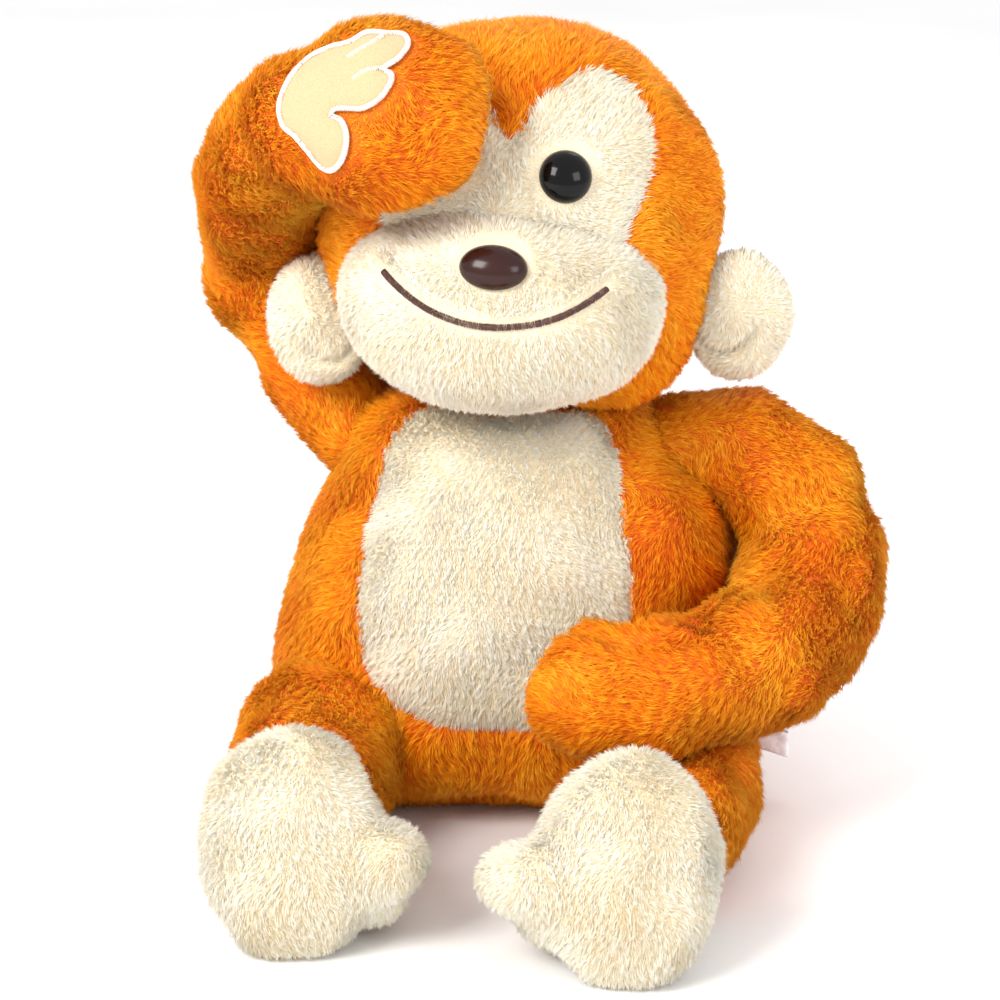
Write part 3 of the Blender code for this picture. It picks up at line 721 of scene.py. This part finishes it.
def build_body():
    core = skin_from("body_core", hull_of(["body_filling"], 0.0062), 34)
    bumps = lumps(0.05, 0.0011, 21)

    def shape(points, normals):
        flat = points[:, [0, 2]]
        edge = distance_to_line(flat, BELLY_LINE)
        front = smoothstep(0.0, -0.02, points[:, 1])
        seam = -0.0024 * np.exp(-(edge / 0.0045) ** 2) * front
        puff = 0.0020 * inside_line(flat, BELLY_LINE) * smoothstep(0, 0.03, edge) * front
        standing = smoothstep(0.004, 0.02, points[:, 2])
        x, y, z = points.T
        left_side = 0.009 * smoothstep(0.05, 0.10, x) * np.exp(-((z - 0.140) / 0.035) ** 2)
        left_hip = 0.011 * smoothstep(0.06, 0.11, x) * np.exp(-((z - 0.040) / 0.030) ** 2)
        right_side = -0.003 * smoothstep(-0.05, -0.09, x) * np.exp(-((z - 0.165) / 0.030) ** 2)
        crotch = -0.015 * np.exp(-(x / 0.05) ** 2) * smoothstep(-0.03, -0.07, y) * smoothstep(0.035, 0.0, z)
        return (seam + puff + bumps(points)) * standing + left_side + left_hip + right_side + crotch
    sculpt(core, shape)

    def kind(points):
        return (inside_line(points[:, [0, 2]], BELLY_LINE) & (points[:, 1] < 0)).astype(int)
    orange, cream = cut_by(core, ["body", "belly"], kind)

    down = steady((0, 0, -1))
    pile("body", orange, "orange", down, riding("torso"), seed=1, trim=shorter_low,
         keep=lambda points: points[:, 2] > 0.003)
    pile("belly", cream, "cream", down, riding("torso"), seed=2, length=SHORT_LENGTH, **SHORT_PILE)
    dress(orange, "orange", "torso", ["body_skin", "body_filling"])
    dress(cream, "cream", "torso", ["belly_panel"])


def build_head():
    core = skin_from("head_core", hull_of(["head_filling"], 0.0062), 34)
    snout = skin_from("muzzle", hull_of(["muzzle_panel", "muzzle_filling"], 0.0034), 24)
    bumps = lumps(0.045, 0.0009, 22)
    snout_middle = middle_of("muzzle_panel") + HEAD_AXES[:, 1] * 0.02

    def shape(points, normals):
        local = in_head(points)
        edge = distance_to_line(local[:, [0, 2]], FACE_LINE)
        seam = -0.0022 * np.exp(-(edge / 0.0040) ** 2) * (local[:, 1] < 0)
        jowl = 0.014 * np.exp(-(np.linalg.norm(local - (0.062, -0.012, -0.068), axis=1) / 0.028) ** 2)
        return seam + bumps(points) + jowl
    sculpt(core, shape)
    sculpt(snout, lambda points, normals: bumps(points))

    def kind(points):
        local = in_head(points)
        return (inside_line(local[:, [0, 2]], FACE_LINE) & (local[:, 1] < 0)).astype(int)
    orange, cream = cut_by(core, ["head", "face"], kind)
    nose_place = middle_of("nose")

    def away(points, normals):
        out = unit(points - nose_place)
        return out * 0.7 + np.array((0, 0.25, -0.55))
    eyes = [in_head(middle_of(name))[[0, 2]] for name in ("eye_left", "eye_right")]

    def round_eyes(points):
        flat = in_head(points)[:, [0, 2]]
        near = np.minimum(*(np.linalg.norm(flat - eye, axis=1) for eye in eyes))
        return smoothstep(0.0105, 0.0185, near) * 0.85 + 0.15 * (near > 0.0105)

    def from_eyes(points, normals):
        flat = in_head(points)[:, [0, 2]]
        near = np.min([np.linalg.norm(flat - eye, axis=1) for eye in eyes], axis=0)
        eye = np.where((flat[:, :1] > 0), eyes[0], eyes[1])
        push = unit(flat - eye)
        push = push[:, :1] * HEAD_AXES[:, 0] + push[:, 1:] * HEAD_AXES[:, 2]
        share = smoothstep(0.024, 0.012, near)[:, None]
        return away(points, normals) * (1 - share) + push * share
    mouth = mouth_line()

    def round_snout(points):
        flat = in_head(points)[:, [0, 2]]
        gap = distance_to_line(flat, mouth, closed=False)
        nose = in_head(nose_place[None])[0, [0, 2]]
        button = np.linalg.norm((flat - nose) / (0.0165, 0.0112), axis=1)
        by_mouth = (0.20 + 0.80 * smoothstep(0.0010, 0.0070, gap)) * (gap > 0.0010)
        return by_mouth * smoothstep(0.93, 1.25, button)

    def from_mouth(points, normals):
        flat = in_head(points)[:, [0, 2]]
        gaps = np.linalg.norm(flat[:, None] - mouth, axis=2)
        nearest = mouth[gaps.argmin(axis=1)]
        push = unit(flat - nearest)
        push = push[:, :1] * HEAD_AXES[:, 0] + push[:, 1:] * HEAD_AXES[:, 2]
        share = smoothstep(0.011, 0.004, gaps.min(axis=1))[:, None]
        return away(points, normals) * (1 - share) + push * share
    pile("head", orange, "orange", away, riding("head"), seed=3)
    pile("face", cream, "cream", from_eyes, riding("head"), seed=4, length=SHORT_LENGTH, trim=round_eyes,
         **SHORT_PILE)
    pile("muzzle", snout, "cream", from_mouth, riding("head"), seed=5, length=SHORTEST_LENGTH,
         trim=round_snout, keep=lambda points: ((points - snout_middle) @ HEAD_AXES)[:, 1] < 0.012,
         **SHORT_PILE)
    tree = skin_tree(snout)
    build_mouth(tree, mouth)
    dress(orange, "orange", "head", ["head_skin", "head_filling"])
    dress(cream, "cream", "head", ["face_panel"])
    dress(snout, "cream", "head", ["muzzle_panel", "muzzle_filling"])


def mouth_line():
    across = np.linspace(-MOUTH_SPAN, MOUTH_SPAN, 61)
    return np.column_stack([across, MOUTH_TOP - MOUTH_DROP * (1 - (across / MOUTH_SPAN) ** 2)])


def build_mouth(tree, line):
    starts = from_head(np.column_stack([line[:, 0], np.full(len(line), -0.2), line[:, 1]]))
    hits, normals = cast(tree, starts, HEAD_AXES[:, 1])
    mouth = satin("mouth", hits + normals * 0.0012, normals, 0.0029, 0.00040, 0.0010, 0.00025, closed=False)
    mouth.data.materials.append(MOUTH_THREAD)
    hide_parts("mouth_embroidery")
    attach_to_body(mouth, "head")


def build_buttons():
    for side in ("left", "right"):
        name = f"eye_{side}"
        build_button(name, (0.0126, 0.0126), 0.0098, 0.0022, EYE_PLASTIC)
    build_button("nose", (0.0160, 0.0110), 0.0095, 0.0022, NOSE_PLASTIC)


def build_button(name, radii, height, proud, shade):
    points = node_points(name)
    washer = node_points(f"{name}_washer")
    outward = unit(points.mean(axis=0) - washer.mean(axis=0))
    depth = (points @ outward).max() - (0.0085 if "eye" in name else 0.009)
    base = washer.mean(axis=0)
    base = base + outward * (depth - base @ outward + proud) - HEAD_AXES[:, 2] * BUTTON_DROP
    made = dome(f"{name}_button", facing(base, outward, HEAD_AXES[:, 2]), radii, height, shade)
    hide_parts(name)
    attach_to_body(made, "head")


def build_ears():
    for side, sign in (("left", 1), ("right", -1)):
        nodes = [f"ear_{side}_skin", f"ear_{side}_filling"]
        ear = skin_from(f"ear_{side}", hull_of(nodes, 0.0012), 8, 0.002)
        centre = middle_of(nodes[0])
        flat = Ripple(0.03, 23 + sign)

        def shape(points, normals, centre=centre, sign=sign, flat=flat):
            x, z = (points[:, 0] - centre[0]) * sign, points[:, 2] - centre[2]
            ring = np.hypot(x + 0.006, z * 0.92 + 0.002)
            front = smoothstep(0.1, 0.6, -normals[:, 1])
            low = smoothstep(0.004, -0.008, z + 0.4 * x)
            arc = -0.0034 * np.exp(-((ring - 0.0150) / 0.0024) ** 2) * front * low
            return arc + 0.0006 * flat.value(points)
        sculpt(ear, shape)

        def flow(points, normals, centre=centre):
            return unit(points - centre) + np.array((0, 0, -0.45))
        body = f"ear_{side}"
        pile(f"ear_{side}", ear, "cream", flow, riding(body), seed=30 + sign, length=SHORTEST_LENGTH,
             **SHORT_PILE)
        dress(ear, "cream", body, nodes)


def limb(name, nodes, seed, grow=0.0054, extra=()):
    """A skin round a limb's cores, slightly uneven as stuffing leaves it."""
    form = copies_of([f"{node}_filling" for node in nodes], grow)
    for place, radii in extra:
        bmesh.ops.create_uvsphere(form, u_segments=32, v_segments=20, radius=1.0,
                                  matrix=Matrix.Translation(place) @ Matrix.Diagonal((*radii, 1)))
    piece = skin_from(name, form, 45)
    keep_outside(piece)
    bumps = lumps(0.035, 0.0009, seed)
    sculpt(piece, lambda points, normals: bumps(points))
    return piece


def keep_outside(piece):
    """Drops the small closed shells that a remesh leaves inside a piece."""
    form = bmesh.new()
    form.from_mesh(piece.data)
    seen = set()
    shells = []
    for vertex in form.verts:
        if vertex in seen:
            continue
        shell = [vertex]
        seen.add(vertex)
        for reached in shell:
            for edge in reached.link_edges:
                other = edge.other_vert(reached)
                if other not in seen:
                    seen.add(other)
                    shell.append(other)
        shells.append(shell)
    shells.sort(key=len)
    bmesh.ops.delete(form, geom=[vertex for shell in shells[:-1] for vertex in shell], context="VERTS")
    form.to_mesh(piece.data)
    form.free()


def build_arms():
    for side in ("right", "left"):
        names = [f"{part}_{side}" for part in ("upper_arm", "forearm", "hand")]
        shoulder, elbow, wrist = (joint_place(f"{joint}_{side}") for joint in ("shoulder", "elbow", "wrist"))
        hand = node_points(f"hand_{side}_filling")
        away = unit(hand.mean(axis=0) - wrist)
        tip = wrist + away * ((hand - wrist) @ away).max()
        half = middle_of(f"forearm_{side}_filling")
        line = curve_through([shoulder, elbow, half, wrist, tip], 24)
        whole_arm = limb(f"arm_{side}", names, 40)
        forward = unit(wrist - elbow)
        if side == "right":
            build_palm(side, facing(PALM_SPOT, PALM_FACING, PALM_UP), skin_tree(whole_arm))
            sculpt(whole_arm, lambda points, normals: 0.012 * smoothstep(0.2, 0.9, -normals[:, 0])
                   * np.exp(-((points[:, 2] - 0.262) / 0.035) ** 2))
        else:
            sculpt(whole_arm, limb_seam(line, (-0.45, -0.55, 0.72), elbow, tip))
        parts = cut_by(whole_arm, [f"upper_{side}", f"lower_{side}"],
                       lambda points: ((points - half) @ forward > 0).astype(int))
        moves = [
            (names[0], names[1], tuple(shoulder * 0.25 + elbow * 0.75), tuple(elbow * 0.35 + half * 0.65)),
            (names[1], names[2], tuple(half * 0.35 + wrist * 0.65), tuple(wrist * 0.6 + tip * 0.4)),
        ]
        trims = [None, round_palm if side == "right" else None]
        flow = along_limb(line)
        for part, move, trim, seed in zip(parts, moves, trims, (7, 8)):
            pile(part.name, part, "orange", flow, riding(move), seed=seed, trim=trim)
        covered = [[f"{name}_skin", f"{name}_filling"] for name in names]
        dress(parts[0], "orange", moves[0], covered[0] + covered[1])
        dress(parts[1], "orange", moves[1], covered[2])


def limb_seam(line, toward, start, end):
    """A seam along a limb's side that looks toward a direction: a groove with a raised edge."""
    toward = np.array(toward, float)
    reach = np.linalg.norm(end - start)

    def shape(points, normals):
        nearest = np.linalg.norm(points[:, None] - line, axis=2).argmin(axis=1)
        tangents = unit(np.gradient(line, axis=0))[nearest]
        spokes = points - line[nearest]
        spokes -= tangents * (spokes * tangents).sum(axis=1)[:, None]
        side = unit(toward - tangents * (tangents @ toward)[:, None])
        swing = np.arctan2((np.cross(tangents, side) * spokes).sum(axis=1), (side * spokes).sum(axis=1))
        around = swing * np.linalg.norm(spokes, axis=1)
        here = smoothstep(0.25, 0.5, 1 - np.linalg.norm(points - end, axis=1) / reach / 1.3)
        here = np.maximum(here, np.linalg.norm(points - end, axis=1) < 0.07)
        groove = -0.0034 * np.exp(-(around / 0.0032) ** 2)
        ridge = 0.0024 * np.exp(-((around - 0.0065) / 0.0036) ** 2)
        return (groove + ridge) * here
    return shape


# The palm's patch, in the palm's own plane: the toy's fingers point to +x, its thumb down
PALM_SPOT = (-0.0655, -0.108, 0.3745)
PALM_SIZE = 0.85
PALM_FACING = (0.0, -0.93, 0.36)
PALM_UP = (0, 0, 1)
PALM_LINE = PALM_SIZE * curve_through([
    (0.0225, 0.0350), (0.0310, 0.0345), (0.0345, 0.0285), (0.0300, 0.0200), (0.0230, 0.0144),
    (0.0272, 0.0115), (0.0268, 0.0065), (0.0210, -0.0015), (0.0125, -0.0062), (0.0040, -0.0060),
    (-0.0025, -0.0062), (-0.0045, -0.0095), (0.0015, -0.0130), (0.0045, -0.0200), (0.0040, -0.0275),
    (0.0005, -0.0335), (-0.0045, -0.0358), (-0.0105, -0.0330), (-0.0175, -0.0252), (-0.0250, -0.0175),
    (-0.0310, -0.0130), (-0.0340, -0.0040), (-0.0325, 0.0041), (-0.0275, 0.0134), (-0.0190, 0.0221),
    (-0.0075, 0.0278), (0.0035, 0.0304), (0.0125, 0.0355)], 170, closed=True)
FINGER_LINES = (
    ((0.0205, 0.0325), (0.0150, 0.0285), (0.0090, 0.0250), (0.0035, 0.0216)),
    ((0.0230, 0.0144), (0.0175, 0.0142), (0.0125, 0.0128), (0.0075, 0.0098)),
)


def round_palm(points):
    place = np.array(facing(PALM_SPOT, PALM_FACING, PALM_UP).inverted())
    local = points @ place[:3, :3].T + place[:3, 3]
    near = distance_to_line(local[:, :2], PALM_LINE)
    near = np.where(inside_line(local[:, :2], PALM_LINE), -near, near)
    front = local[:, 2] > -0.02
    return np.where(front, (near > 0.0004) * (0.22 + 0.78 * smoothstep(0.0, 0.010, near)), 1.0)


def build_palm(side, place, tree):
    patch = filled(f"palm_{side}", PALM_LINE, place, tree, 0.0036)
    patch.data.materials.append(PALM_VELOUR)
    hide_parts(f"palm_patch_{side}")
    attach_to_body(patch, f"hand_{side}")
    out = np.array(place.col[2][:3])
    hits, normals = cast(tree, on_plane(place, PALM_LINE) + out * 0.04, -out)
    edge = satin(f"palm_edge_{side}", hits + normals * 0.0022, normals, 0.0024, 0.00045, 0.0011, 0.00028)
    edge.data.materials.append(PALM_THREAD)
    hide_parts(f"palm_stitching_{side}")
    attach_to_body(edge, f"hand_{side}")
    for index, finger in enumerate(FINGER_LINES):
        flat = PALM_SIZE * curve_through(finger, 40)
        hits, normals = cast(tree, on_plane(place, flat) + out * 0.04, -out)
        line = satin(f"palm_finger_{side}_{index}", hits + normals * 0.0030, normals, 0.0018, 0.00045,
                     0.0010, 0.00026, closed=False)
        line.data.materials.append(PALM_THREAD)
        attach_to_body(line, f"hand_{side}")


def build_legs():
    for side in ("right", "left"):
        hip, ankle = joint_place(f"hip_{side}"), joint_place(f"ankle_{side}")
        leg = limb(f"thigh_{side}", [f"leg_{side}"], 50)
        outward = -1 if side == "right" else 1
        sculpt(leg, lambda points, normals: 0.005 * smoothstep(0, 1, normals[:, 0] * outward))
        pile(f"thigh_{side}", leg, "orange", steady(unit(ankle - hip) + np.array((0, 0, -0.5))),
             riding(f"leg_{side}"), seed=9, keep=off_floor, trim=shorter_low)
        dress(leg, "orange", f"leg_{side}", [f"leg_{side}_skin", f"leg_{side}_filling"])
        centre = middle_of(f"foot_{side}_filling")
        inward = 1 if side == "right" else -1
        web = Vector(centre) + Vector((inward * 0.020, -0.008, -0.019))
        foot = limb(f"sole_{side}", [f"foot_{side}"], 51, extra=[(web, (0.026, 0.016, 0.019))])
        pile(f"sole_{side}", foot, "cream", steady((0.2 * inward, -0.15, -1)), riding(f"foot_{side}"),
             seed=10, length=SHORT_LENGTH, keep=off_floor, trim=shorter_low, **SHORT_PILE)
        dress(foot, "cream", f"foot_{side}", [f"foot_{side}_skin", f"foot_{side}_filling"])


def build_tail():
    tail = limb("tail_soft", ["tail"], 52)
    root = joint_place("tail_swing")
    points = node_points("tail_filling")
    end = points[np.linalg.norm(points - root, axis=1).argmax()]
    pile("tail", tail, "orange", steady(unit(end - root)), riding("tail"), seed=11,
         keep=lambda points: points[:, 2] > 0.002,
         trim=lambda points: smoothstep(0.0002, 0.006, points[:, 2]) * 0.5 + 0.5)
    dress(tail, "orange", "tail", ["tail_skin", "tail_filling"])


def build_neck():
    neck = skin_from("neck_roll", hull_of(["neck_filling"], 0.004), 6)
    sculpt(neck, lambda points, normals: 0.010 * (1 - np.abs(normals[:, 2])))
    pile("neck", neck, "orange", steady((0, 0, -1)), riding("neck"), seed=12, density=0.6e6)
    dress(neck, "orange", "neck", ["neck_filling"])


def build_label():
    """The folded care label in the side seam."""
    points = node_points("care_label")
    low, high = points.min(axis=0), points.max(axis=0)
    root = np.array(((low[0] + high[0]) / 2 + 0.002, points[:, 1].mean(), points[:, 2].mean()))
    out = unit(np.array((0.97, -0.24, 0.0)))
    thick = unit(np.cross(out, (0, 0, 1)))
    length, width = 0.0215, 0.0135
    turn = np.linspace(-math.pi / 2, math.pi / 2, 9)
    radius = 0.0016
    straight = np.linspace(0, length - radius, 12)
    profile = [(share, -radius) for share in straight[:-1]]
    profile += [(length - radius + radius * math.cos(a), radius * math.sin(a)) for a in turn]
    profile += [(share, radius) for share in straight[:-1][::-1]]
    rows = []
    for ahead, aside in profile:
        sag = -0.0035 * (ahead / length) ** 2
        spread = 0.0010 * math.sin(ahead / length * math.pi)
        for height in np.linspace(-width / 2, width / 2, 9):
            curl = 0.0012 * (height / width) ** 2 * 4 * (ahead / length)
            side = aside + math.copysign(spread, aside) + curl
            rows.append(root + out * ahead + thick * side + np.array((0, 0, height + sag)))
    count = len(profile)
    faces = []
    for step in range(count - 1):
        for index in range(8):
            first = step * 9 + index
            faces.append((first, first + 1, first + 10, first + 9))
    mesh = bpy.data.meshes.new("label_loop")
    mesh.from_pydata([tuple(row) for row in rows], [], faces)
    mesh.shade_smooth()
    label = bpy.data.objects.new("label_loop", mesh)
    bpy.context.scene.collection.objects.link(label)
    label.data.materials.append(LABEL_SATIN)
    solid = label.modifiers.new("Cloth", "SOLIDIFY")
    solid.thickness = 0.00025
    apply_modifiers(label)
    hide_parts("care_label")
    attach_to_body(label, "torso")


PALM_VELOUR = mottled("palm_velour", (0.58, 0.375, 0.20), (0.67, 0.45, 0.26), 1400, 0.35, 0.85, 0.2)
PALM_THREAD = mottled("palm_thread", (0.86, 0.80, 0.68), (0.95, 0.92, 0.85), 500, 0.1, 0.45, 0.1)
MOUTH_THREAD = mottled("mouth_thread", (0.040, 0.010, 0.007), (0.085, 0.022, 0.014), 500, 0.1, 0.42, 0.1)
LABEL_SATIN = mottled("label_satin", (0.70, 0.62, 0.66), (0.90, 0.88, 0.90), 260, 0.1, 0.45, 0.1)
EYE_PLASTIC = mottled("eye_plastic", (0.002, 0.002, 0.002), (0.004, 0.003, 0.004), 30, 0.01, 0.12,
                      shine=0.22)
NOSE_PLASTIC = mottled("nose_plastic", (0.018, 0.005, 0.004), (0.032, 0.009, 0.007), 30, 0.01, 0.2,
                       shine=0.3)
WASHER_PLASTIC = mottled("washer_plastic", (0.70, 0.70, 0.68), (0.80, 0.80, 0.78), 80, 0.02, 0.4)


def build_stage():
    form = bmesh.new()
    bmesh.ops.create_grid(form, x_segments=1, y_segments=1, size=6.0)
    floor = object_from("floor", form)
    floor.data.materials.append(mottled("floor", (0.90, 0.90, 0.90), (0.93, 0.93, 0.93), 3, 0.0, 0.9))
    world = bpy.data.worlds.new("World")
    world.use_nodes = True
    background = world.node_tree.nodes["Background"]
    background.inputs["Color"].default_value = (1.0, 1.0, 1.0, 1)
    background.inputs["Strength"].default_value = 1.0
    bpy.context.scene.world = world
    for name, place, size, power, colour in (
            ("key", (-1.1, -1.5, 1.6), 1.0, 48, (1.0, 0.98, 0.95)),
            ("fill", (1.5, -1.2, 0.9), 0.8, 10, (0.97, 0.98, 1.0)),
            ("back", (0.3, 1.5, 1.5), 1.2, 12, (1.0, 1.0, 1.0))):
        light = bpy.data.lights.new(name, "AREA")
        light.size = size
        light.energy = power
        light.color = colour
        lamp = bpy.data.objects.new(name, light)
        lamp.location = place
        lamp.rotation_euler = (Vector((0, 0, 0.2)) - Vector(place)).to_track_quat("-Z", "Y").to_euler()
        bpy.context.scene.collection.objects.link(lamp)
    camera = bpy.data.cameras.new("camera")
    camera.lens = CAMERA_LENS
    camera.sensor_width = 36.0
    holder = bpy.data.objects.new("camera", camera)
    flat = math.cos(CAMERA_ELEVATION)
    away = Vector((math.sin(CAMERA_AZIMUTH) * flat, -math.cos(CAMERA_AZIMUTH) * flat,
                   math.sin(CAMERA_ELEVATION)))
    holder.location = CAMERA_TARGET + away * CAMERA_DISTANCE
    holder.rotation_euler = (-away).to_track_quat("-Z", "Y").to_euler()
    bpy.context.scene.collection.objects.link(holder)
    bpy.context.scene.camera = holder
    bpy.context.scene.view_settings.view_transform = "Standard"


def dress_solids():
    """Shades for the solids that are shown as they are: the washers, and the patch under the left hand."""
    for name, shade in (("palm_patch_left", PALM_VELOUR), ("palm_stitching_left", PALM_THREAD),
                        ("eye_left_washer", WASHER_PLASTIC), ("eye_right_washer", WASHER_PLASTIC),
                        ("nose_washer", WASHER_PLASTIC)):
        NODES[name].data.materials.clear()
        NODES[name].data.materials.append(shade)


build_stage()
build_body()
build_head()
build_buttons()
build_ears()
build_arms()
build_legs()
build_tail()
build_neck()
build_label()
dress_solids()
